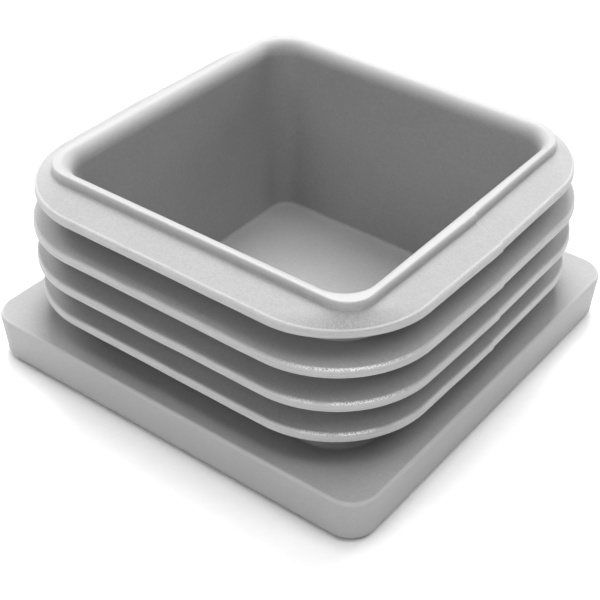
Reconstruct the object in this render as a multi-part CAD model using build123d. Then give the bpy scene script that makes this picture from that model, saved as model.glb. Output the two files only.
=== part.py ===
"""Push-in end cap for a square tube, moulded in one piece.

A square head stays outside the tube and an open cup stands on it. Four flexible
lamellae run round the cup and grip the tube's inner faces. Two mould halves shape the
outside of the insert and part along Y, at the plane Y = 0. The cup is drawn along Z.

Millimetres. The origin is the centre of the head's flat outer face, and +Z points
into the tube, out of the cup's mouth.
"""

from build123d import *
import math
import os

# Head: the square plate that stays outside the tube.
head_side = 50.0
head_thickness = 5.1
head_corner_radius = 3.3
head_draft_angle = 4.5
shoulder_edge_round = 0.35
outer_face_chamfer = 0.25

# Cup: the hollow body of the insert.
insert_height = 18.45
body_side = 40.2
body_corner_radius = 3.5
wall_thickness = 1.65
cup_corner_radius = 2.2
cup_draft_angle = 2.0
floor_thickness = 1.0

# Lip: the cup leads in steeply below a narrow crest, which is rounded on both sides.
lead_in_width = 0.45
lead_in_depth = 1.8
lip_inner_round = 0.8
crest_land = 0.05

# Lamellae: overall sides across the Y faces. The first is the one beside the head.
first_lamella_side = 47.5
full_lamella_side = 48.0
full_lamella_count = 2
lamella_straight = 24.8
lamella_pitch = 4.05
lamella_tip_thickness = 1.05
lamella_slope_angle = 15.0

# Lead lamella: the last one, thinner and steeper, starts the insert into the tube.
lead_side = 46.9
lead_tip_thickness = 0.8
lead_root_rise = 1.2
lip_height = 0.95

# Mould halves: faces parallel to Y widen towards the parting plane by their draft. The
# front half stands slightly proud of the back one there, and its lamellae sit lower.
parting_draft_angle = 1.0
parting_step = 0.1
parting_drop = 0.1

mouth_height = head_thickness + insert_height
lead_root = mouth_height - lip_height
lead_lower_face = lead_root - lead_root_rise - lead_tip_thickness
body_half = body_side / 2
lead_in_lean = math.atan(
    lead_in_width / lead_in_depth + math.tan(math.radians(cup_draft_angle))
)
inner_round_reach = lip_inner_round * math.tan((math.pi / 2 - lead_in_lean) / 2)
lip_round = wall_thickness - lead_in_width - inner_round_reach - crest_land


def moulded_outline(half, corner_radius, widening):
    """Rounded square whose X faces widen by the draft from the corners to Y = 0."""
    slope = math.tan(math.radians(parting_draft_angle))
    straight = half - corner_radius
    tangent_width = half + widening
    widest = tangent_width + straight * slope
    narrowest = tangent_width - corner_radius * slope
    points = [
        (widest, 0),
        (narrowest, half),
        (-narrowest, half),
        (-widest, 0),
        (-narrowest, -half),
        (narrowest, -half),
    ]
    outline = make_face(Polyline(points, close=True).edges())
    corners = [vertex for vertex in outline.vertices() if abs(vertex.Y) > straight]
    return fillet(corners, corner_radius)


def lamella_band(lower_face, side, thickness, widening):
    """Square-edged flange whose corner arcs leave the straight part of each side."""
    half = side / 2
    outline = moulded_outline(half, (side - lamella_straight) / 2, widening)
    return Pos(Z=lower_face) * outline, Pos(Z=lower_face) * extrude(outline, thickness)


def lamella(lower_face, side, widening):
    """Flange with a flat lower face, a square tip and an evenly sloped upper face."""
    outline, band = lamella_band(lower_face, side, lamella_tip_thickness, widening)
    slope = math.radians(lamella_slope_angle)
    rise = (side - body_side) / 2 * math.tan(slope)
    top = extrude(outline, rise, taper=90 - lamella_slope_angle)
    return band + Pos(Z=lamella_tip_thickness) * top


def lead_lamella(widening):
    """Flange whose upper face runs from its tip up to the body's own outline."""
    outline, band = lamella_band(lead_lower_face, lead_side, lead_tip_thickness, widening)
    root = Pos(Z=lead_root) * moulded_outline(body_half, body_corner_radius, widening)
    return band + loft([Pos(Z=lead_tip_thickness) * outline, root], ruled=True)


def insert_front(widening, drop):
    """Front half of the insert, as one mould half shapes it, with its lip rounded."""
    body = moulded_outline(body_half, body_corner_radius, widening)
    insert = Pos(Z=head_thickness) * extrude(body, insert_height)
    insert += Pos(Z=-drop) * lead_lamella(widening)
    sides = [full_lamella_side] * full_lamella_count + [first_lamella_side]
    for step, side in enumerate(sides, start=1):
        lower_face = lead_lower_face - drop - step * lamella_pitch
        insert += lamella(lower_face, side, widening)
    front = split(insert, bisect_by=Plane.XZ, keep=Keep.TOP)
    lip = front.faces().sort_by(Axis.Z)[-1].edges().sort_by(Axis.Y)[:-1]
    return fillet(lip, lip_round)


def head():
    """Square plate that narrows to its flat outer face, with its edges broken."""
    lean = math.radians(head_draft_angle)
    lost_to_round = shoulder_edge_round * (math.tan(lean) + 1 / math.cos(lean) - 1)
    sharp_side = head_side + 2 * lost_to_round
    shoulder = RectangleRounded(sharp_side, sharp_side, head_corner_radius)
    plate = extrude(shoulder, -head_thickness, taper=head_draft_angle)
    plate = Pos(Z=head_thickness) * plate
    plate = fillet(plate.faces().sort_by(Axis.Z)[-1].edges(), shoulder_edge_round)
    return chamfer(plate.faces().sort_by(Axis.Z)[0].edges(), outer_face_chamfer)


def pocket(growth, depth, taper):
    """Square pocket down from the mouth, its outline grown evenly over the cup's own."""
    side = body_side - 2 * wall_thickness + 2 * growth
    outline = RectangleRounded(side, side, cup_corner_radius + growth)
    return Pos(Z=mouth_height) * extrude(outline, -depth, taper=taper)


def cup_space():
    """Hollow of the cup: a drafted pocket with a steep lead-in that dies into it."""
    cup = pocket(0, mouth_height - floor_thickness, cup_draft_angle)
    return cup + pocket(lead_in_width, lead_in_depth, math.degrees(lead_in_lean))


def end_cap():
    """The whole moulding: head and both halves of the insert, hollowed by the cup."""
    front = insert_front(parting_step, parting_drop)
    back = mirror(insert_front(0, 0), about=Plane.XZ)
    cap = head() + front + back - cup_space()
    mouth = cap.faces().sort_by(Axis.Z)[-1]
    return fillet(mouth.inner_wires()[0].edges(), lip_inner_round)


if __name__ == "__main__":
    os.makedirs("parts", exist_ok=True)
    cap = end_cap()
    cap.label = "end_cap"
    export_step(cap, "parts/end_cap.step")
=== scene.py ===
import math

import bpy
import numpy as np
from bpy.props import FloatProperty, FloatVectorProperty, IntProperty, PointerProperty
from mathutils import Matrix, Vector


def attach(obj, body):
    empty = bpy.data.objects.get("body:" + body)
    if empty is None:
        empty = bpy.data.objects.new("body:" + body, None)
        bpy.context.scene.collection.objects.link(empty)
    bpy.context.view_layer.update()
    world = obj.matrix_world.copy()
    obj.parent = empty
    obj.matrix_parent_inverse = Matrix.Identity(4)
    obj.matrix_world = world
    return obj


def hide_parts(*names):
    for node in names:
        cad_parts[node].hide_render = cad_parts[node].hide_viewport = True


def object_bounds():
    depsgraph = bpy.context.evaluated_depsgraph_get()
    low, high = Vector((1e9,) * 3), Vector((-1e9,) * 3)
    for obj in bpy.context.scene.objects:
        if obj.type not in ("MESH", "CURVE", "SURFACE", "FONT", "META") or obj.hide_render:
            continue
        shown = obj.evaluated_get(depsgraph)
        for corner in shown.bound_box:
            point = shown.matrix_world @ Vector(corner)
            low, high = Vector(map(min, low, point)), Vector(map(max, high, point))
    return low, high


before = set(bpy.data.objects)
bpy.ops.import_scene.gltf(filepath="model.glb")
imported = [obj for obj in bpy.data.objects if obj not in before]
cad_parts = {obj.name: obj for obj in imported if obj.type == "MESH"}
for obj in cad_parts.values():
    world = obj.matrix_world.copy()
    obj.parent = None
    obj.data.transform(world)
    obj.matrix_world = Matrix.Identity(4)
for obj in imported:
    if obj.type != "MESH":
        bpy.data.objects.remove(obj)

# The packed model's own box, read before anything is added to the scene.
CAD_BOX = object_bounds()
CAP_SIDE = CAD_BOX[1].x - CAD_BOX[0].x
CAP_HEIGHT = CAD_BOX[1].z - CAD_BOX[0].z

bl_info = {
    "name": "Square tube end cap",
    "version": (1, 0, 0),
    "blender": (4, 5, 0),
    "location": "3D View > Sidebar > End cap",
    "description": "Makes a moulded end cap for a square tube, its grey plastic and a stage",
    "category": "Add Mesh",
}


# ---------------------------------------------------------------- settings


def length(name, description, default):
    """A length in metres, shown in the scene's units."""
    return FloatProperty(
        name=name, description=description, default=default, min=0.0, unit="LENGTH", precision=5
    )


def angle(name, description, degrees):
    """An angle that is given in degrees and kept in radians."""
    return FloatProperty(
        name=name, description=description, default=math.radians(degrees), subtype="ANGLE"
    )


def tone(name, description, default):
    """A linear RGB colour."""
    return FloatVectorProperty(
        name=name,
        description=description,
        default=default,
        size=3,
        min=0.0,
        max=1.0,
        subtype="COLOR",
    )


def power(name, description, default):
    """A lamp's power in watts."""
    return FloatProperty(name=name, description=description, default=default, min=0.0, unit="POWER")


def amount(name, description, default, most=1.0):
    """A plain number from nought to the most it may be."""
    return FloatProperty(name=name, description=description, default=default, min=0.0, max=most)


class CapHeadSettings(bpy.types.PropertyGroup):
    """Sizes of the square head that stays outside the tube."""

    side: length("Side", "Side of the head at its widest", CAP_SIDE)
    thickness: length("Thickness", "From the outer face to the shoulder", 0.0051)
    corner_radius: length("Corner radius", "Radius of the head's four corners", 0.0033)
    draft: angle("Draft", "Lean of the head's side walls", 4.5)
    shoulder_round: length("Shoulder round", "Radius of the shoulder's outer edge", 0.00035)
    foot_round: length("Foot round", "Radius of the outer face's edge", 0.00035)


class CapCupSettings(bpy.types.PropertyGroup):
    """Sizes of the hollow body of the insert."""

    body_side: length("Body side", "Side of the body across its Y faces", 0.0402)
    body_radius: length("Body corner radius", "Radius of the body's corners at the mouth", 0.0031)
    wall: length("Wall", "Wall thickness at the mouth, without the lead-in", 0.00185)
    crest: length("Crest", "From the body's face to the lip's crest", 0.0003)
    crest_drop: length("Crest drop", "From the crest down to where the outer round ends", 0.0006)
    land: length("Land", "Width of the lip's flat top", 0.00008)
    soften: length("Soften", "Extra radius of three of the lip's outer corners", 0.0012)
    lead_in: length("Lead-in", "Depth of the round inner side of the lip", 0.0019)
    cup_radius: length("Cup corner radius", "Radius of the cup's corners at the mouth", 0.003)
    deep_radius: length("Deep corner radius", "Radius of the cup's corners at its floor", 0.0024)
    cup_draft: angle("Cup draft", "Lean of the cup's inner walls", 1.5)
    core_shift: length("Core shift", "How far the cup's core sits towards +X", 0.00035)
    floor: length("Floor", "Thickness of the cup's floor", 0.0012)
    floor_round: length("Floor round", "Radius where the floor meets the walls", 0.0005)
    foot_fillet: length("Foot fillet", "Radius where the body meets the shoulder", 0.0003)


class CapLamellaSettings(bpy.types.PropertyGroup):
    """Sizes of the four flexible lamellae."""

    first_side: length("First side", "Side of the lamella beside the head", 0.0475)
    full_side: length("Full side", "Side of the two middle lamellae", 0.048)
    lead_side: length("Lead side", "Side of the lamella beside the mouth", 0.0469)
    straight: length("Straight", "Straight part of each side, between the corner arcs", 0.0248)
    pitch: length("Pitch", "From one lower face to the next", 0.00405)
    tip: length("Tip thickness", "Height of the square tips", 0.0009)
    lead_tip: length("Lead tip thickness", "Height of the lead lamella's tip", 0.0008)
    slope: angle("Slope", "Rise of the upper faces towards the body", 15.0)
    lead_rise: length("Lead rise", "Rise of the lead lamella's upper face", 0.0012)
    lip_height: length("Lip height", "From the lead lamella's root to the mouth", 0.00095)
    tip_draft: angle("Tip draft", "Lean of the square tips", 5.0)
    edge_break: length("Edge break", "Radius of the tips' lower edges", 0.00006)
    edge_round: length("Edge round", "Radius of the tips' upper edges", 0.0002)
    lead_round: length("Lead round", "Radius of the lead lamella's upper edge", 0.0004)
    root_fillet: length("Root fillet", "Radius where a lamella meets the body", 0.00013)
    gap_radius: length("Gap radius", "Radius of the body's corners between the lamellae", 0.0055)


class CapMouldSettings(bpy.types.PropertyGroup):
    """Traces that the mould leaves on the insert."""

    draft: angle("Parting draft", "Lean of the X faces towards the parting plane", 1.0)
    step: length("Parting step", "How far the front half stands proud of the back half", 0.0001)
    drop: length("Parting drop", "How much lower the front half's lower faces sit", 0.00004)
    seam: length("Seam width", "Half the width of the step at the parting plane", 0.00001)
    ripple: length("Ripple", "Slow waves in the lamellae", 0.00003)
    lift: length("Lead lift", "Rise of the lead lamella's lower edge at its corners", 0.00018)
    nick: length("Nick depth", "Depth of the small nicks in the lip", 0.00006)
    nick_reach: length("Nick reach", "How far down the lip the nicks fade out", 0.0006)
    corner_steps: IntProperty(name="Corner steps", description="Faces round a corner", default=22)
    side_steps: IntProperty(name="Side steps", description="Faces along half a side", default=26)


class CapFinishSettings(bpy.types.PropertyGroup):
    """Colour and surface of the moulded plastic."""

    base: tone("Plastic", "Colour where the frosted skin is darkest", (0.28, 0.28, 0.28))
    pale: tone("Pale bloom", "Colour where the frosted skin is palest", (0.32, 0.32, 0.32))
    # Painted shade: the darker colour in the gaps between the lamellae and on the shoulder under
    # the first one, where shade falls.
    deep: tone("Deep skin", "Colour of the darker skin between the lamellae", (0.21, 0.21, 0.21))
    # Painted light: the tips' faces are coloured paler to stand in for the light they catch; the
    # draw streaks that break the colour up are real.
    tips: tone("Tips", "Colour of the lamellae's scuffed tips", (0.40, 0.40, 0.40))
    # Painted highlight: the paler colour on the lip's crest and the shoulder's round edge; on the
    # foot and the side wall, paler towards the floor, it is painted floor light.
    lip: tone("Pale edges", "Colour of the mouth's rim and the shoulder's edge", (0.37, 0.37, 0.37))
    # Painted glints: near-white colour on the tips' round edges, strongest at the corner on +X, -Y,
    # and specks on the lead lamella's slope.
    painted_glint: tone("Rubbed edge", "Colour of the rubbed edges", (0.75, 0.75, 0.75))
    roughness: amount("Roughness", "Mean roughness of the frosted skin", 0.5)
    grain_size: length("Grain size", "Mean size of the frosted grain", 0.00015)
    grain_depth: length("Grain depth", "Height of the frosted grain", 0.000025)
    streak_depth: length("Streak depth", "Height of the draw marks on the tips", 0.00002)


class CapStageSettings(bpy.types.PropertyGroup):
    """Floor, light and camera."""

    floor_tone: tone("Floor", "Colour of the floor", (0.90, 0.90, 0.90))
    floor_side: length("Floor side", "Side of the square floor", 1.6)
    floor_gap: length("Floor gap", "Hairline gap left under the head's edge", 0.0004)
    horizon: amount("Horizon", "Strength of the white surround near the floor", 0.4, 10.0)
    lamp_distance: length("Lamp distance", "From the cap to each softbox", 0.6)
    overhead: power("Overhead", "Power of the overhead softbox", 2.0)
    high_back: power("High back", "Power of the high softbox behind the cap", 4.12)
    high_right: power("High right", "Power of the high softbox on the right", 0.9)
    high_left: power("High left", "Power of the high softbox on the left", 0.37)
    front: power("Front", "Power of the low softbox beside the camera", 0.17)
    back_left: power("Back left", "Power of the low softbox behind on the left", 1.6)
    back_right: power("Back right", "Power of the low softbox behind on the right", 1.45)
    front_left: power("Front left", "Power of the low softbox in front on the left", 0.75)
    azimuth: angle("Azimuth", "Camera's turn round the cap from -Y", 35.2776)
    elevation: angle("Elevation", "Camera's height above the horizon", 37.6561)
    roll: angle("Roll", "Camera's roll", 1.7275)
    distance: length("Distance", "From the camera to the plane of the aim point", 0.1554112)
    across: FloatProperty(
        name="Across", description="Sideways offset", default=-0.0032218, unit="LENGTH"
    )
    down: FloatProperty(
        name="Down", description="Upright offset", default=-0.0010425, unit="LENGTH"
    )
    lens: FloatProperty(name="Lens", description="Focal length in millimetres", default=80.9107)
    shift_x: FloatProperty(name="Shift X", description="Sideways lens shift", default=-0.05917)
    shift_y: FloatProperty(name="Shift Y", description="Upright shift of the lens", default=0.02583)


# ---------------------------------------------------------------- the moulding


LAMELLAE = 4
# From a round edge or a fillet to the station that keeps the flat beside it flat.
FLAT_MARGIN = 0.0001
SHOULDER_MARGIN = 0.00008
# Shares of the pale edges' colour, the same all round the cap. It is painted light: a painted
# highlight on the shoulder's round and the lip's crest, and painted floor light on the foot and
# the side wall, which are paler towards the floor.
FOOT_PAINTED_LIGHT = 0.5
WALL_PAINTED_LIGHT = 0.6
WALL_PAINTED_LIGHT_FALL = 0.3
SHOULDER_HIGHLIGHT = 0.3
LIP_HIGHLIGHT = 0.7
# Shares of the painted glints on the edges: away from the corner on +X, -Y, on the lead lamella
# and on its slope.
FAR_GLINT = 0.08
LEAD_GLINT = 0.1
SLOPE_GLINT = 0.14
# Slow waves: their gain, and the sideways ones' share, seeds and cycles round one turn.
WAVE_GAIN = 1.6
HEIGHT_SEED = 10
SWELL_SEED = 20
SWELL_SHARE = 0.5
SWELL_CYCLES = (3, 7, 11, 17)
# Nicks in the lip: x, y, width and share of the depth. The spread turns a width into a bell's.
NICK_SPREAD = 2.2
NICKS = (
    (0.0198, 0.0005, 0.00022, 0.9),
    (0.0198, 0.0040, 0.00030, 1.0),
    (-0.0060, -0.0196, 0.00035, 0.8),
    (0.0150, -0.0196, 0.00050, 0.5),
    (0.0197, -0.0122, 0.00040, 0.6),
    (-0.0197, 0.0060, 0.00040, 0.6),
    (0.0070, 0.0196, 0.00045, 0.6),
)

# Columns of the table of stations that the profile is made of. A station is one closed line
# round the cap: a rounded square, or a blend of two of them.
STATION = np.dtype(
    [
        ("half", float),
        ("radius", float),
        ("moulded", float),
        ("next_half", float),
        ("next_radius", float),
        ("next_moulded", float),
        ("blend", float),
        ("z", float),
        ("number", int),
        ("sway", float),
        ("low", float),
        ("core", float),
        ("edge", float),
        ("tip_face", float),
        ("pale", float),
        ("deep", float),
        ("glint", float),
        ("soft", float),
    ]
)


def turn(mould):
    """One turn round the cap, counter-clockwise seen from the mouth, as arrays over its points.

    A quarter goes from the middle of an X face (along = 0) to the corner arc (arc from 0 to 1)
    and on to the middle of a Y face (across = 0). Its mirror images make the full turn. The two
    quarters that meet on an X face keep a point each there, so the halves can be stepped.
    """
    sides = mould.side_steps
    corner = mould.corner_steps
    near = np.array([0.0, 0.006, 0.018])
    far = np.linspace(0.04, 1.0, sides)[:-1]
    rest = np.linspace(1.0, 0.0, sides + 1)[1:]
    along = np.concatenate([near, far, np.ones(corner + 1), np.ones(sides)])
    arc = np.concatenate([np.zeros(sides + 2), np.linspace(0.0, 1.0, corner + 1), np.ones(sides)])
    across = np.concatenate([np.ones(sides + 2), np.ones(corner + 1), rest])
    quarter = np.stack([along, arc, across])
    back = quarter[:, -2::-1]
    signs = ((1, 1, quarter), (-1, 1, back), (-1, -1, quarter), (1, -1, back))
    along, arc, across = np.concatenate([part for _, _, part in signs], axis=1)
    sign_x = np.concatenate([np.full(part.shape[1], float(sx)) for sx, _, part in signs])
    sign_y = np.concatenate([np.full(part.shape[1], float(sy)) for _, sy, part in signs])
    return {"along": along, "arc": arc, "across": across, "sign_x": sign_x, "sign_y": sign_y}


def rounded_square(half, radius, moulded, way, mould):
    """Points of rounded squares, a row for each: half side, corner radii, moulded or plain.

    In a quarter, with the lean d of the X faces and the corner's angle a from d to a right
    angle: x = across * centre + radius * cos(a), plus tan(d) times the distance left to the
    corner, and y = along * (straight + radius * sin(a)). The centre of the corner arc lies
    radius / cos(d) inside the X face, and the front half stands out by the parting step.
    """
    half, moulded = half[:, None], moulded[:, None]
    lean = mould.draft * moulded
    straight = half - radius
    turned = lean + (math.pi / 2 - lean) * way["arc"]
    proud = mould.step * moulded * (way["sign_y"] < 0)
    centre = half + proud - radius / np.cos(lean)
    reach = straight + radius * np.sin(turned)
    x = way["across"] * centre + radius * np.cos(turned)
    x = x + (1.0 - way["along"]) * reach * np.tan(lean)
    y = np.maximum(way["along"] * reach, mould.seam)
    normal = np.stack([way["sign_x"] * np.cos(turned), way["sign_y"] * np.sin(turned)], axis=-1)
    return np.stack([way["sign_x"] * x, way["sign_y"] * y], axis=-1), normal


def slow_wave(path, seed, cycles=(2, 3, 5, 9, 14)):
    """Sum of sines that close after one turn, with seeded phases, from about -1 to 1."""
    rng = np.random.default_rng(seed)
    phases = rng.uniform(0.0, 2.0 * math.pi, len(cycles))
    weights = 1.0 / np.sqrt(np.arange(1, len(cycles) + 1))
    waves = np.sin(path[:, None] * np.array(cycles) * 2.0 * math.pi + phases) * weights
    return waves.sum(axis=1) / weights.sum() * WAVE_GAIN


class Profile:
    """Collects the stations of the closed profile, from the outer face's centre to the floor's."""

    def __init__(self):
        self.rows = []

    def at(self, half, radius, z, moulded=0.0, **more):
        """Adds one station. Whatever isn't given is nought or the same as the station's own."""
        row = dict.fromkeys(STATION.names, 0)
        row.update(half=half, radius=radius, z=z, moulded=moulded)
        row.update(next_half=half, next_radius=radius, next_moulded=moulded)
        row.update(more)
        self.rows.append(tuple(row[name] for name in STATION.names))

    def table(self):
        return np.array(self.rows, dtype=STATION)


def head_stations(profile, head):
    """Outer face, its round edge, the leaning side wall and the round shoulder edge.

    Side wall: half side = base + z * tan(draft). An edge is an arc, centre + radius * (cos, sin).
    """
    lean = math.tan(head.draft)
    secant = 1.0 / math.cos(head.draft)
    corner_centre = head.side / 2 + head.shoulder_round * (lean + secant - 1.0) - head.corner_radius
    shoulder_centre = head.side / 2 - head.shoulder_round
    shoulder_z = head.thickness - head.shoulder_round
    base = shoulder_centre + head.shoulder_round * secant - shoulder_z * lean
    foot_centre = base + head.foot_round * (lean - secant)

    def ring(half, z, **more):
        profile.at(half, max(half - corner_centre, 0.1 * half), z, **more)

    for part in (0.25, 0.5, 0.7, 0.85, 0.95):
        ring(foot_centre * part, 0.0)
    ring(foot_centre - FLAT_MARGIN, 0.0)
    # Painted light from here on: the foot round and the side wall are paler towards the floor, and
    # the shoulder's round gets a painted highlight.
    for turned in np.linspace(-math.pi / 2, -head.draft, 7):
        z = head.foot_round * (1.0 + math.sin(turned))
        ring(foot_centre + head.foot_round * math.cos(turned), z, pale=FOOT_PAINTED_LIGHT)
    for z in np.linspace(head.foot_round * 1.15, shoulder_z * 0.99, 8):
        ring(base + z * lean, z, pale=WALL_PAINTED_LIGHT - WALL_PAINTED_LIGHT_FALL * z / shoulder_z)
    for turned in np.linspace(-head.draft, math.pi / 2, 9):
        ring(
            shoulder_centre + head.shoulder_round * math.cos(turned),
            shoulder_z + head.shoulder_round * math.sin(turned),
            pale=min(1.0, SHOULDER_HIGHLIGHT + max(0.0, math.sin(2.0 * turned))),
        )
    return shoulder_centre, corner_centre


def shoulder_stations(profile, head, cup, radius, edge_half, corner_centre):
    """Flat shoulder, a straight blend from its edge to the body's foot, and the foot's fillet."""
    body = cup.body_side / 2
    fillet = cup.foot_fillet
    start = edge_half - SHOULDER_MARGIN
    # Painted shade darkens the shoulder towards the body's foot, and the foot's fillet, under the
    # first lamella.
    for part in (0.0, 0.2, 0.4, 0.6, 0.8, 0.97, 1.0):
        profile.at(
            start,
            start - corner_centre,
            head.thickness,
            next_half=body + fillet,
            next_radius=radius + fillet,
            next_moulded=1.0,
            blend=part,
            deep=part**3,
        )
    for turned in np.linspace(0.0, math.pi / 2, 6)[1:]:
        out = fillet * (1.0 - math.sin(turned))
        rise = fillet * (1.0 - math.cos(turned))
        profile.at(body + out, radius + out, head.thickness + rise, 1.0, deep=1.0)


def lamella_stations(profile, cup, fins, number, side, lower, tip, root, root_radius):
    """One lamella: fillet, flat lower face, leaning tip, sloped upper face and root fillet.

    The lower and upper faces are straight blends between the body's outline and the tip's, so
    the root keeps one height all the way round. Fillets and rounded edges are arcs, each its
    centre + radius * (cos, sin), and touch the faces on both sides. Root radius is the body's
    corner radius above the lamella; below it the body has the gaps' radius. The skin of the gaps
    gets painted shade: it is coloured darker all round the cap. The lead lamella has none above it.
    """
    body = cup.body_side / 2
    half = side / 2
    corner_centre = fins.straight / 2
    fillet, lean = fins.root_fillet, fins.tip_draft
    top, top_half = lower + tip, half - tip * math.tan(lean)
    slope = math.atan2(root - top, top_half - body)
    shaded = float(number < LAMELLAE)

    def body_ring(radius, out, z, **more):
        profile.at(body + out, radius + out, z, 1.0, number=number, **more)

    def tip_ring(half, z, **more):
        profile.at(half, half - corner_centre, z, 1.0, number=number, sway=1.0, **more)

    # Painted shade on the body in the gap under the lamella and on the lamella's lower face.
    body_ring(fins.gap_radius, 0.0, lower - fillet - FLAT_MARGIN, deep=1.0)
    for turned in np.linspace(0.0, math.pi / 2, 5):
        out, z = fillet * (1.0 - math.cos(turned)), lower - fillet * (1.0 - math.sin(turned))
        body_ring(fins.gap_radius, out, z, low=1.0, deep=1.0)

    small = fins.edge_break
    small_centre = half - small * (1.0 + math.sin(lean)) / math.cos(lean)
    outer = {"next_half": small_centre, "next_radius": small_centre - corner_centre}
    for part in (0.05, 0.3, 0.6, 0.9, 0.985):
        share = {"blend": part, "sway": part, "low": 1.0, "deep": 1.0, "next_moulded": 1.0}
        body_ring(fins.gap_radius, fillet, lower, **share, **outer)
    # Painted glints (the edge mask) and painted tip light (the tip_face mask) run along the tip's
    # round edges and face.
    for turned in np.linspace(-math.pi / 2, lean, 5):
        edge_half = small_centre + small * math.cos(turned)
        z = lower + small * (1.0 + math.sin(turned))
        tip_ring(edge_half, z, edge=0.3, tip_face=1.0, low=1.0)

    large = fins.edge_round if shaded else fins.lead_round
    reach = large * math.tan((math.pi / 2 - slope - lean) / 2)
    face_low = lower + small * (1.0 + math.sin(lean))
    face_top = top - reach * math.cos(lean)
    for part in (0.04, 0.2, 0.4, 0.6, 0.8, 0.96):
        z = face_low + (face_top - face_low) * part
        marks = {"tip_face": 1.0, "edge": 0.3 * part**4, "low": 1.0 - part}
        tip_ring(half - (z - lower) * math.tan(lean), z, **marks)
    large_centre = top_half + reach * math.sin(lean) - large * math.cos(lean)
    large_z = face_top - large * math.sin(lean)
    for turned in np.linspace(lean, math.pi / 2 - slope, 7):
        edge_half = large_centre + large * math.cos(turned)
        tip_ring(edge_half, large_z + large * math.sin(turned), edge=1.0, tip_face=1.0)

    face_half, face_z = top_half - reach * math.cos(slope), top + reach * math.sin(slope)
    body_line = {"next_half": body, "next_radius": root_radius, "next_moulded": 1.0}
    # Painted shade darkens the upper face towards the root, and the root's fillet, where a lamella
    # lies above.
    for part in (0.02, 0.05, 0.1, 0.2, 0.35, 0.5, 0.65, 0.8, 0.9):
        # Painted glints and painted tip light fade out just beyond the tip's upper edge.
        edge_falloff = max(0.0, 1.0 - part / 0.04)
        marks = {"sway": 1.0 - part, "edge": 0.8 * edge_falloff, "tip_face": 0.7 * edge_falloff}
        marks["deep"] = shaded * max(0.0, part - 0.3) / 0.7
        marks["glint"] = marks["soft"] = 1.0 - shaded
        z = face_z + (root - face_z) * part
        radius = face_half - corner_centre
        profile.at(face_half, radius, z, 1.0, blend=part, number=number, **marks, **body_line)
    turn_left = math.pi / 2 - slope
    marks = {"deep": shaded, "soft": 1.0 - shaded}
    lift = fillet * math.tan(turn_left / 2)
    for turned in np.linspace(turn_left, 0.0, 5):
        out = fillet * (1.0 - math.cos(turned))
        body_ring(root_radius, out, root + lift - fillet * math.sin(turned), **marks)


def mouth_stations(profile, cup, mouth):
    """Lip with its crest and long inner side, the drafted wall, the floor's fillet and the floor.

    Each side of the lip is a quarter of an ellipse: centre + (width * cos, height * sin), with
    a narrow flat land between them. Cup wall: half side = mouth half side - depth * tan(draft);
    its corner radius changes evenly from the mouth to the floor, and is larger where the lip
    opens. Core is the share of the core shift, which sets in down the lip.
    """
    body = cup.body_side / 2
    inner = body - cup.wall
    crest = body - cup.crest
    lean = math.tan(cup.cup_draft)

    def cup_ring(inset, z, core=1.0, **more):
        down = (mouth - z) / (mouth - cup.floor)
        radius = cup.cup_radius + (cup.deep_radius - cup.cup_radius) * down - min(inset, 0.0)
        profile.at(inner - inset, radius, z, core=core, **more)

    # Painted highlight on the lip: paler towards the crest, on both sides of it.
    for turned in np.linspace(0.0, math.pi / 2, 9):
        inset = cup.crest * (1.0 - math.cos(turned))
        z = mouth - cup.crest_drop * (1.0 - math.sin(turned))
        profile.at(
            body - inset,
            cup.body_radius - inset,
            z,
            1.0,
            pale=LIP_HIGHLIGHT * math.sin(turned),
            soft=1.0,
        )
    foot_inset = cup.lead_in * lean
    width = crest - cup.land - inner + foot_inset
    for turned in np.linspace(math.pi / 2, 0.0, 17):
        inset = foot_inset - width * (1.0 - math.cos(turned))
        z = mouth - cup.lead_in * (1.0 - math.sin(turned))
        cup_ring(inset, z, core=math.cos(turned), pale=LIP_HIGHLIGHT * math.sin(turned))
    depth = mouth - cup.floor
    for part in (0.04, 0.1, 0.2, 0.35, 0.5, 0.65, 0.8, 0.9):
        down = cup.lead_in + (depth - cup.lead_in) * part
        cup_ring(down * lean, mouth - down)
    inset = depth * lean
    foot = cup.floor_round
    for turned in np.linspace(0.0, math.pi / 2, 7):
        out = inset + foot * (1.0 - math.cos(turned))
        cup_ring(out, cup.floor + foot * (1.0 - math.sin(turned)))
    flat = inner - inset - foot
    corner = cup.deep_radius
    for part in (0.99, 0.9, 0.75, 0.55, 0.3, 0.1):
        profile.at(flat * part, corner * part, cup.floor, core=1.0)


def cap_stations(scene):
    """The whole profile: outer face, head, shoulder, four lamellae, lip, cup and floor."""
    head, cup, fins = scene.cap_head, scene.cap_cup, scene.cap_lamellae
    profile = Profile()
    edge_half, corner_centre = head_stations(profile, head)
    shoulder_stations(profile, head, cup, fins.gap_radius, edge_half, corner_centre)
    mouth = CAP_HEIGHT
    lead_root = mouth - fins.lip_height
    lead_lower = lead_root - fins.lead_rise - fins.lead_tip
    sides = (fins.first_side, fins.full_side, fins.full_side)
    for number, side in enumerate(sides, start=1):
        lower = lead_lower - (LAMELLAE - number) * fins.pitch
        root = lower + fins.tip + (side - cup.body_side) / 2 * math.tan(fins.slope)
        lamella_stations(profile, cup, fins, number, side, lower, fins.tip, root, fins.gap_radius)
    lead = (LAMELLAE, fins.lead_side, lead_lower, fins.lead_tip, lead_root)
    lamella_stations(profile, cup, fins, *lead, cup.body_radius)
    mouth_stations(profile, cup, mouth)
    return profile.table()


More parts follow.
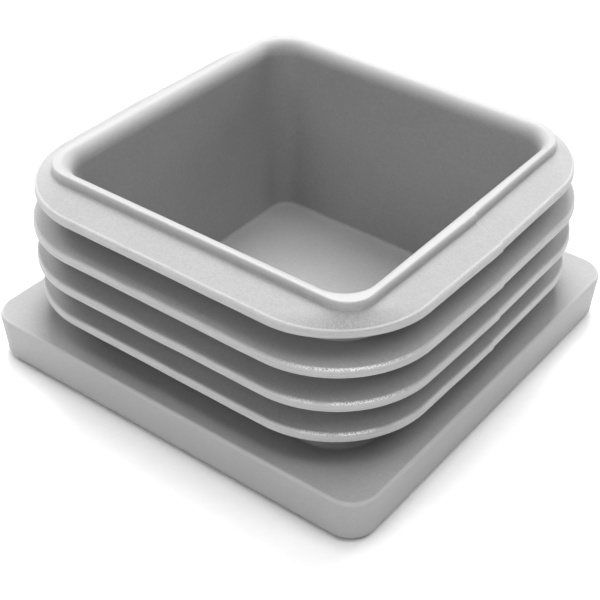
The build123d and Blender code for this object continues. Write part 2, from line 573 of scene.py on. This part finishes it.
def moulding_grid(scene):
    """Points of the whole skin as an array of stations by points round the turn.

    Each station is its own rounded square, blended towards the next one by its share. The lip's
    outer corners are rounder at three corners than at the one on +X, -Y. The cup's stations
    are moved towards +X by the core shift: the right side by all of it, and the left side by a
    share that grows down to the floor. The height is z, less the parting drop on the lower faces
    of the front half's lamellae, plus the lead lamella's lift at its corners, plus slow waves
    that grow towards the tips, less the nicks. The painted glints on the edges are full only at
    the corner on +X, -Y.
    """
    mould = scene.cap_mould
    way = turn(mould)
    rows = cap_stations(scene)
    near = (way["sign_x"] > 0) & (way["sign_y"] < 0)
    wider = scene.cap_cup.soften * rows["soft"][:, None] * ~near
    radius = rows["radius"][:, None] + wider * (rows["blend"] == 0)[:, None]
    next_radius = rows["next_radius"][:, None] + wider
    own, normal = rounded_square(rows["half"], radius, rows["moulded"], way, mould)
    other, _ = rounded_square(rows["next_half"], next_radius, rows["next_moulded"], way, mould)
    share = rows["blend"][:, None, None]
    plane = own * (1.0 - share) + other * share
    down = (CAP_HEIGHT - rows["z"][:, None]) / (CAP_HEIGHT - scene.cap_cup.floor)
    right = 0.5 + 0.5 * plane[..., 0] / np.abs(plane[..., 0]).max(axis=1, keepdims=True)
    shift = scene.cap_cup.core_shift * rows["core"][:, None]
    plane[..., 0] += shift * (right + (1.0 - right) * down)
    number = rows["number"][:, None]
    corner = np.sin(way["arc"] * math.pi) ** 2
    fall = mould.drop * (way["sign_y"] < 0) - mould.lift * (number == LAMELLAE) * corner
    z = rows["z"][:, None] - rows["low"][:, None] * fall

    widest = plane[np.argmax(rows["half"])]
    steps = np.hypot(*(np.roll(widest, -1, axis=0) - widest).T)
    path = np.concatenate([[0.0], np.cumsum(steps)])
    share_round = path[:-1] / path[-1]
    for fin in range(1, LAMELLAE + 1):
        sway = rows["sway"][:, None] * (number == fin)
        z = z + mould.ripple * sway * slow_wave(share_round, HEIGHT_SEED + fin)
        swell = slow_wave(share_round, SWELL_SEED + fin, SWELL_CYCLES)
        plane = plane + (mould.ripple * SWELL_SHARE * sway * swell)[..., None] * normal
    on_lip = np.clip((rows["z"] - CAP_HEIGHT) / mould.nick_reach + 1.0, 0.0, 1.0)
    z = z - mould.nick * on_lip[:, None] * lip_nicks(plane)

    # Painted glints on the edges: full at the corner on +X, -Y, weaker elsewhere and on the lead
    # lamella, with specks on its slope.
    painted_glints = corner * near
    edge = rows["edge"][:, None] * np.where(
        number < LAMELLAE, FAR_GLINT + (1.0 - FAR_GLINT) * painted_glints, LEAD_GLINT
    )
    masks = {
        "edge": edge + SLOPE_GLINT * rows["glint"][:, None] * painted_glints,
        "tip_face": rows["tip_face"][:, None] * np.ones_like(corner),
        "pale": rows["pale"][:, None] * np.ones_like(corner),
        "deep": rows["deep"][:, None] * np.ones_like(corner),
    }
    return np.concatenate([plane, z[..., None]], axis=-1), path, masks


def lip_nicks(plane):
    """Small bell-shaped dents in the lip: a few places, each with its own width and depth."""
    spots = np.array(NICKS)
    away = np.hypot(plane[..., 0, None] - spots[:, 0], plane[..., 1, None] - spots[:, 1])
    return (np.exp(-((away / (spots[:, 2] * NICK_SPREAD)) ** 2)) * spots[:, 3]).sum(axis=-1)


def skin_faces(rings, count):
    """Corners and sizes of the faces: quads between rings, then a fan round each pole.

    Quads run from each ring to the next, in the order that turns their normals outwards.
    """
    ring = np.arange(rings - 1)[:, None] * count
    here = np.arange(count)[None, :]
    after = (here + 1) % count
    above = ring + count
    quads = np.stack([ring + here, ring + after, above + after, above + here], axis=-1)
    quads = quads.reshape(-1, 4)
    here, after = here[0], after[0]
    low_pole, high_pole = rings * count, rings * count + 1
    low = np.stack([np.full(count, low_pole), after, here], axis=-1)
    top = (rings - 1) * count
    high = np.stack([top + here, top + after, np.full(count, high_pole)], axis=-1)
    corners = np.concatenate([quads.ravel(), low.ravel(), high.ravel()])
    sizes = np.concatenate([np.full(len(quads), 4), np.full(2 * count, 3)])
    return corners, sizes


def skin_uv(points, path):
    """UV of each face corner: metres along the turn and along the profile at mid-corner."""
    rings, count = points.shape[:2]
    middle = points[:, count // 8]
    profile = np.concatenate([[0.0], np.cumsum(np.linalg.norm(np.diff(middle, axis=0), axis=1))])
    u_here = np.broadcast_to(path[:-1], (rings - 1, count))
    u_after = np.broadcast_to(path[1:], (rings - 1, count))
    v_here = np.broadcast_to(profile[:-1, None], (rings - 1, count))
    v_after = np.broadcast_to(profile[1:, None], (rings - 1, count))
    u = np.stack([u_here, u_after, u_after, u_here], axis=-1).reshape(-1)
    v = np.stack([v_here, v_here, v_after, v_after], axis=-1).reshape(-1)
    centre = 0.5 * (path[:-1] + path[1:])
    low_u = np.stack([centre, path[1:], path[:-1]], axis=-1).ravel()
    low_v = np.zeros(3 * count)
    high_u = np.stack([path[:-1], path[1:], centre], axis=-1).ravel()
    high_v = np.full(3 * count, profile[-1])
    whole_u, whole_v = np.concatenate([u, low_u, high_u]), np.concatenate([v, low_v, high_v])
    return np.stack([whole_u, whole_v], axis=-1)


def skin_mesh(name, points, path, masks):
    """Closed mesh of a grid of rings, with a pole in the middle of the first and last ring."""
    rings, count = points.shape[:2]
    poles = [points[0].mean(axis=0), points[-1].mean(axis=0)]
    verts = np.concatenate([points.reshape(-1, 3), poles])
    corners, sizes = skin_faces(rings, count)
    starts = np.concatenate([[0], np.cumsum(sizes)[:-1]])

    mesh = bpy.data.meshes.new(name)
    mesh.vertices.add(len(verts))
    mesh.vertices.foreach_set("co", verts.astype(np.float32).ravel())
    mesh.loops.add(len(corners))
    mesh.loops.foreach_set("vertex_index", corners.astype(np.int32))
    mesh.polygons.add(len(sizes))
    mesh.polygons.foreach_set("loop_start", starts.astype(np.int32))
    mesh.update(calc_edges=True)
    mesh.polygons.foreach_set("use_smooth", np.ones(len(sizes), dtype=bool))

    layer = mesh.uv_layers.new(name="skin")
    layer.data.foreach_set("uv", skin_uv(points, path).astype(np.float32).ravel())
    for label, mask in masks.items():
        values = np.concatenate([mask.ravel(), [0.0, 0.0]])
        attribute = mesh.attributes.new(label, "FLOAT", "POINT")
        attribute.data.foreach_set("value", values.astype(np.float32))
    mesh.validate(clean_customdata=False)
    return mesh


# ---------------------------------------------------------------- the plastic

# Frosted skin: the coarse grain's scale over the fine one's, and the slow bloom's scale.
COARSE_SHARE = 0.36
BLOOM_SCALE = 140.0
# Painted glints on the edges: scales of the fine breaks and of the patches they come in.
BREAK_SCALE = 6500.0
PATCH_SCALE = 160.0
# Draw marks on the tips: noise scale round the turn, and along the profile.
STREAK_SCALE = (220.0, 6500.0, 1.0)
PLASTIC_IOR = 1.47
ROUGHNESS_SPREAD = 0.08
GLINT_SMOOTHING = 0.15
BUMP_STRENGTH = 0.5
# The floor: its grain, finish, and the darker mottles' share of its tone.
FLOOR_GRAIN = 0.0008
FLOOR_ROUGHNESS = 0.9
FLOOR_SPECULAR = 0.2
FLOOR_MOTTLE = 0.985


def new_group(name, inputs, outputs):
    """An empty shader node group with named inputs and outputs."""
    group = bpy.data.node_groups.new(name, "ShaderNodeTree")
    for label, kind, value in inputs:
        socket = group.interface.new_socket(name=label, in_out="INPUT", socket_type=kind)
        if value is not None:
            socket.default_value = value
    for label, kind in outputs:
        group.interface.new_socket(name=label, in_out="OUTPUT", socket_type=kind)
    return group, group.nodes.new("NodeGroupInput"), group.nodes.new("NodeGroupOutput")


def math_node(tree, operation, first, second=None, clamp=False):
    """A Math node with each input linked where it is a socket and set where it is a number."""
    node = tree.nodes.new("ShaderNodeMath")
    node.operation = operation
    node.use_clamp = clamp
    for slot, value in enumerate((first, second)):
        if value is None:
            continue
        if isinstance(value, bpy.types.NodeSocket):
            tree.links.new(value, node.inputs[slot])
        else:
            node.inputs[slot].default_value = value
    return node.outputs[0]


def weighted_sum(tree, parts):
    """Sum of sockets, each times its weight."""
    total = 0.0
    for value, weight in parts:
        total = math_node(tree, "ADD", math_node(tree, "MULTIPLY", value, weight), total)
    return total


def noise_node(tree, vector, scale, detail=3.0, roughness=0.55):
    """A Noise Texture, its scale linked or set."""
    node = tree.nodes.new("ShaderNodeTexNoise")
    tree.links.new(vector, node.inputs["Vector"])
    if isinstance(scale, bpy.types.NodeSocket):
        tree.links.new(scale, node.inputs["Scale"])
    else:
        node.inputs["Scale"].default_value = scale
    node.inputs["Detail"].default_value = detail
    node.inputs["Roughness"].default_value = roughness
    return node.outputs["Fac"]


def ramp_node(tree, value, low, high):
    """Maps low..high to 0..1, smoothly, and clamps it."""
    node = tree.nodes.new("ShaderNodeMapRange")
    node.interpolation_type = "SMOOTHSTEP"
    tree.links.new(value, node.inputs["Value"])
    node.inputs["From Min"].default_value = low
    node.inputs["From Max"].default_value = high
    return node.outputs["Result"]


def frost_group():
    """Frosted skin: fine grain, coarser pebbling and slow bloom, as a height and a mask."""
    inputs = (("Vector", "NodeSocketVector", None), ("Grain Size", "NodeSocketFloat", 0.0002))
    outputs = (("Height", "NodeSocketFloat"), ("Bloom", "NodeSocketFloat"))
    group, source, sink = new_group("frosted_skin", inputs, outputs)
    vector = source.outputs["Vector"]
    fine_scale = math_node(group, "DIVIDE", 1.0, source.outputs["Grain Size"])
    coarse_scale = math_node(group, "MULTIPLY", fine_scale, COARSE_SHARE)
    fine = noise_node(group, vector, fine_scale, detail=2.0, roughness=0.5)
    coarse = noise_node(group, vector, coarse_scale, detail=3.0, roughness=0.6)
    slow = noise_node(group, vector, BLOOM_SCALE, detail=4.0, roughness=0.6)
    height = weighted_sum(group, ((fine, 0.6), (coarse, 0.8)))
    bloom = weighted_sum(group, ((fine, 0.5), (coarse, 0.3), (slow, 0.2)))
    group.links.new(height, sink.inputs["Height"])
    group.links.new(ramp_node(group, bloom, 0.38, 0.62), sink.inputs["Bloom"])
    return group


def glint_group():
    """Painted glints: an edge mask broken up by noise of two sizes."""
    inputs = (("Vector", "NodeSocketVector", None), ("Edge", "NodeSocketFloat", 0.0))
    group, source, sink = new_group("rubbed_edge", inputs, (("Mask", "NodeSocketFloat"),))
    vector = source.outputs["Vector"]
    broken = ramp_node(group, noise_node(group, vector, BREAK_SCALE, detail=2.0), 0.42, 0.52)
    patches = ramp_node(group, noise_node(group, vector, PATCH_SCALE, detail=2.0), 0.3, 0.5)
    mask = math_node(group, "MULTIPLY", broken, patches)
    mask = math_node(group, "MULTIPLY", mask, source.outputs["Edge"], clamp=True)
    group.links.new(mask, sink.inputs["Mask"])
    return group


def attribute_node(tree, name):
    """A mask that the mesh carries on its points."""
    node = tree.nodes.new("ShaderNodeAttribute")
    node.attribute_name = name
    return node.outputs["Fac"]


def mix_colour(tree, share, first, second):
    """A Mix node on colours: first where the share is nought, second where it is one."""
    node = tree.nodes.new("ShaderNodeMix")
    node.data_type = "RGBA"
    tree.links.new(share, node.inputs["Factor"])
    for socket, value in ((node.inputs[6], first), (node.inputs[7], second)):
        if isinstance(value, bpy.types.NodeSocket):
            tree.links.new(value, socket)
        else:
            socket.default_value = (*value, 1.0)
    return node.outputs[2]


def group_node(tree, group, **values):
    """A node group's node, with its inputs set or linked by name."""
    node = tree.nodes.new("ShaderNodeGroup")
    node.node_tree = group
    for label, value in values.items():
        socket = node.inputs[label.replace("_", " ")]
        if isinstance(value, bpy.types.NodeSocket):
            tree.links.new(value, socket)
        else:
            socket.default_value = value
    return node


def plastic_material(finish, frost, glint_nodes):
    """Matte grey moulded plastic, its colours laid over each other in this order.

    Frosted skin with slow bloom, painted shade in the gaps, painted light on the tips with real
    draw streaks, painted highlights and floor light on the pale edges, painted glints on the edges.
    """
    material = bpy.data.materials.new("matte_grey_plastic")
    material.use_nodes = True
    tree = material.node_tree
    shader = tree.nodes["Principled BSDF"]
    shader.inputs["IOR"].default_value = PLASTIC_IOR
    coordinates = tree.nodes.new("ShaderNodeTexCoord")
    place = coordinates.outputs["Object"]
    skin = group_node(tree, frost, Vector=place, Grain_Size=finish.grain_size)
    edge = attribute_node(tree, "edge")
    painted_glints = group_node(tree, glint_nodes, Vector=place, Edge=edge)
    flow = tree.nodes.new("ShaderNodeMapping")
    flow.inputs["Scale"].default_value = STREAK_SCALE
    tree.links.new(coordinates.outputs["UV"], flow.inputs["Vector"])
    streaks = noise_node(tree, flow.outputs["Vector"], 1.0, detail=3.0)
    # Painted light on the tip faces, broken up by the real draw streaks.
    on_tip = attribute_node(tree, "tip_face")
    tip_light_and_streaks = math_node(tree, "MULTIPLY", on_tip, ramp_node(tree, streaks, 0.1, 0.7))
    colour = mix_colour(tree, skin.outputs["Bloom"], finish.base, finish.pale)
    # Painted shade: darker colour in the gaps and under the first lamella.
    colour = mix_colour(tree, attribute_node(tree, "deep"), colour, finish.deep)
    colour = mix_colour(tree, tip_light_and_streaks, colour, finish.tips)
    # Painted highlight and painted floor light on the pale edges.
    colour = mix_colour(tree, attribute_node(tree, "pale"), colour, finish.lip)
    # Painted glints on the edges, near white.
    colour = mix_colour(tree, painted_glints.outputs["Mask"], colour, finish.painted_glint)
    tree.links.new(colour, shader.inputs["Base Color"])

    rough = math_node(tree, "MULTIPLY", skin.outputs["Bloom"], ROUGHNESS_SPREAD)
    rough = math_node(tree, "ADD", rough, finish.roughness - ROUGHNESS_SPREAD / 2)
    smoother = math_node(tree, "MULTIPLY", painted_glints.outputs["Mask"], GLINT_SMOOTHING)
    rough = math_node(tree, "SUBTRACT", rough, smoother)
    tree.links.new(rough, shader.inputs["Roughness"])

    streaks = math_node(tree, "MULTIPLY", streaks, on_tip)
    height = math_node(tree, "MULTIPLY", skin.outputs["Height"], finish.grain_depth)
    drawn = math_node(tree, "MULTIPLY", streaks, finish.streak_depth)
    height = math_node(tree, "ADD", height, drawn)
    bump = tree.nodes.new("ShaderNodeBump")
    bump.inputs["Distance"].default_value = 1.0
    bump.inputs["Strength"].default_value = BUMP_STRENGTH
    tree.links.new(height, bump.inputs["Height"])
    tree.links.new(bump.outputs["Normal"], shader.inputs["Normal"])
    return material


def floor_material(stage, frost):
    """Pale matte board with faint mottling. It is clear from below, so the underside shows."""
    material = bpy.data.materials.new("pale_board")
    material.use_nodes = True
    tree = material.node_tree
    shader = tree.nodes["Principled BSDF"]
    shader.inputs["Roughness"].default_value = FLOOR_ROUGHNESS
    shader.inputs["Specular IOR Level"].default_value = FLOOR_SPECULAR
    place = tree.nodes.new("ShaderNodeTexCoord").outputs["Object"]
    skin = group_node(tree, frost, Vector=place, Grain_Size=FLOOR_GRAIN)
    darker = [FLOOR_MOTTLE * part for part in stage.floor_tone]
    colour = mix_colour(tree, skin.outputs["Bloom"], darker, stage.floor_tone)
    tree.links.new(colour, shader.inputs["Base Color"])
    clear = tree.nodes.new("ShaderNodeBsdfTransparent")
    mix = tree.nodes.new("ShaderNodeMixShader")
    tree.links.new(tree.nodes.new("ShaderNodeNewGeometry").outputs["Backfacing"], mix.inputs[0])
    tree.links.new(shader.outputs[0], mix.inputs[1])
    tree.links.new(clear.outputs[0], mix.inputs[2])
    tree.links.new(mix.outputs[0], tree.nodes["Material Output"].inputs["Surface"])
    return material


# ---------------------------------------------------------------- operators

# Softboxes: the setting that holds the power, bearing from the camera and height in degrees,
# and side in metres.
SOFTBOXES = (
    ("overhead", 0, 90, 0.35),
    ("high_back", 180, 58, 0.3),
    ("high_right", 60, 58, 0.3),
    ("high_left", 300, 58, 0.3),
    ("front", 0, 27, 0.25),
    ("back_left", 225, 27, 0.25),
    ("back_right", 135, 27, 0.25),
    ("front_left", 315, 27, 0.25),
)
# Upward parts of a direction between which the surround fades out.
SURROUND_LOW = 0.1
SURROUND_HIGH = 0.55
SENSOR_WIDTH = 36.0
CLIP_START = 0.005


def towards(azimuth, elevation):
    """Unit vector at a turn round the cap from straight ahead, -Y, and a height."""
    return Vector(
        (
            math.sin(azimuth) * math.cos(elevation),
            -math.cos(azimuth) * math.cos(elevation),
            math.sin(elevation),
        )
    )


class CAP_OT_moulding(bpy.types.Operator):
    """Makes the cap's one-piece moulding and its plastic"""

    bl_idname = "end_cap.moulding"
    bl_label = "Make the moulding"

    def execute(self, context):
        scene = context.scene
        points, path, masks = moulding_grid(scene)
        if not np.isfinite(points).all():
            raise ValueError("the moulding's sizes don't fit together")
        mesh = skin_mesh("end_cap_moulding", points, path, masks)
        mesh.materials.append(plastic_material(scene.cap_finish, frost_group(), glint_group()))
        piece = bpy.data.objects.new("end_cap_moulding", mesh)
        context.collection.objects.link(piece)
        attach(piece, "root")
        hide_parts("end_cap")
        return {"FINISHED"}


def add_floor(context, stage):
    """A square floor just under the head."""
    far, low = stage.floor_side / 2, -stage.floor_gap
    mesh = bpy.data.meshes.new("studio_floor")
    corners = [(-far, -far, low), (far, -far, low), (far, far, low), (-far, far, low)]
    mesh.from_pydata(corners, [], [(0, 1, 2, 3)])
    frost = bpy.data.node_groups.get("frosted_skin") or frost_group()
    mesh.materials.append(floor_material(stage, frost))
    floor = bpy.data.objects.new("studio_floor", mesh)
    context.collection.objects.link(floor)


def add_surround(scene, stage):
    """A white surround, brightest at the horizon and dark overhead."""
    world = bpy.data.worlds.new("white_surround")
    world.use_nodes = True
    tree = world.node_tree
    direction = tree.nodes.new("ShaderNodeSeparateXYZ")
    generated = tree.nodes.new("ShaderNodeTexCoord").outputs["Generated"]
    tree.links.new(generated, direction.inputs[0])
    strength = ramp_node(tree, direction.outputs["Z"], SURROUND_LOW, SURROUND_HIGH)
    strength.node.inputs["To Min"].default_value = stage.horizon
    strength.node.inputs["To Max"].default_value = 0.0
    tree.nodes["Background"].inputs["Color"].default_value = (1.0, 1.0, 1.0, 1.0)
    tree.links.new(strength, tree.nodes["Background"].inputs["Strength"])
    scene.world = world


def add_softboxes(context, stage):
    """Square area lamps on a dome round the cap, each facing it."""
    for setting, bearing, height, side in SOFTBOXES:
        turned = stage.azimuth + math.radians(bearing)
        place = stage.lamp_distance * towards(turned, math.radians(height))
        light = bpy.data.lights.new(f"{setting}_softbox", "AREA")
        light.shape = "SQUARE"
        light.size = side
        light.energy = getattr(stage, setting)
        lamp = bpy.data.objects.new(light.name, light)
        lamp.location = place
        lamp.rotation_euler = (-place).to_track_quat("-Z", "Y").to_euler()
        context.collection.objects.link(lamp)


def add_camera(context, stage):
    """The camera, placed from its turn, height, roll and offsets."""
    back = towards(stage.azimuth, stage.elevation)
    level = Vector((math.cos(stage.azimuth), math.sin(stage.azimuth), 0.0))
    upright = back.cross(level)
    right = math.cos(stage.roll) * level + math.sin(stage.roll) * upright
    up = -math.sin(stage.roll) * level + math.cos(stage.roll) * upright
    lens = bpy.data.cameras.new("cap_camera")
    lens.sensor_width = SENSOR_WIDTH
    lens.lens = stage.lens
    lens.shift_x = stage.shift_x
    lens.shift_y = stage.shift_y
    lens.clip_start = CLIP_START
    camera = bpy.data.objects.new("cap_camera", lens)
    place = back * stage.distance - right * stage.across - up * stage.down
    facing = Matrix((right, up, back)).transposed().to_4x4()
    camera.matrix_world = Matrix.Translation(place) @ facing
    context.collection.objects.link(camera)
    context.scene.camera = camera


class CAP_OT_stage(bpy.types.Operator):
    """Makes the pale floor, the soft studio light and the camera"""

    bl_idname = "end_cap.stage"
    bl_label = "Make the stage"

    def execute(self, context):
        scene = context.scene
        add_floor(context, scene.cap_stage)
        add_surround(scene, scene.cap_stage)
        add_softboxes(context, scene.cap_stage)
        add_camera(context, scene.cap_stage)
        scene.view_settings.view_transform = "Standard"
        return {"FINISHED"}


GROUPS = {
    "cap_head": CapHeadSettings,
    "cap_cup": CapCupSettings,
    "cap_lamellae": CapLamellaSettings,
    "cap_mould": CapMouldSettings,
    "cap_finish": CapFinishSettings,
    "cap_stage": CapStageSettings,
}
OPERATORS = (CAP_OT_moulding, CAP_OT_stage)


class CAP_PT_panel(bpy.types.Panel):
    """Lists the cap's steps and settings"""

    bl_label = "End cap"
    bl_idname = "CAP_PT_panel"
    bl_space_type = "VIEW_3D"
    bl_region_type = "UI"
    bl_category = "End cap"

    def draw(self, context):
        for operator in OPERATORS:
            self.layout.operator(operator.bl_idname)
        for name, group in GROUPS.items():
            box = self.layout.box()
            box.label(text=group.__doc__)
            for setting in group.__annotations__:
                box.prop(getattr(context.scene, name), setting)


def register():
    for group in GROUPS.values():
        bpy.utils.register_class(group)
    for name, group in GROUPS.items():
        setattr(bpy.types.Scene, name, PointerProperty(type=group))
    for operator in OPERATORS:
        bpy.utils.register_class(operator)
    bpy.utils.register_class(CAP_PT_panel)


def unregister():
    bpy.utils.unregister_class(CAP_PT_panel)
    for operator in reversed(OPERATORS):
        bpy.utils.unregister_class(operator)
    for name in GROUPS:
        delattr(bpy.types.Scene, name)
    for group in reversed(GROUPS.values()):
        bpy.utils.unregister_class(group)


def main():
    """Registers the add-on and makes the moulding and the stage."""
    register()
    bpy.ops.end_cap.moulding()
    bpy.ops.end_cap.stage()


if __name__ == "__main__":
    main()
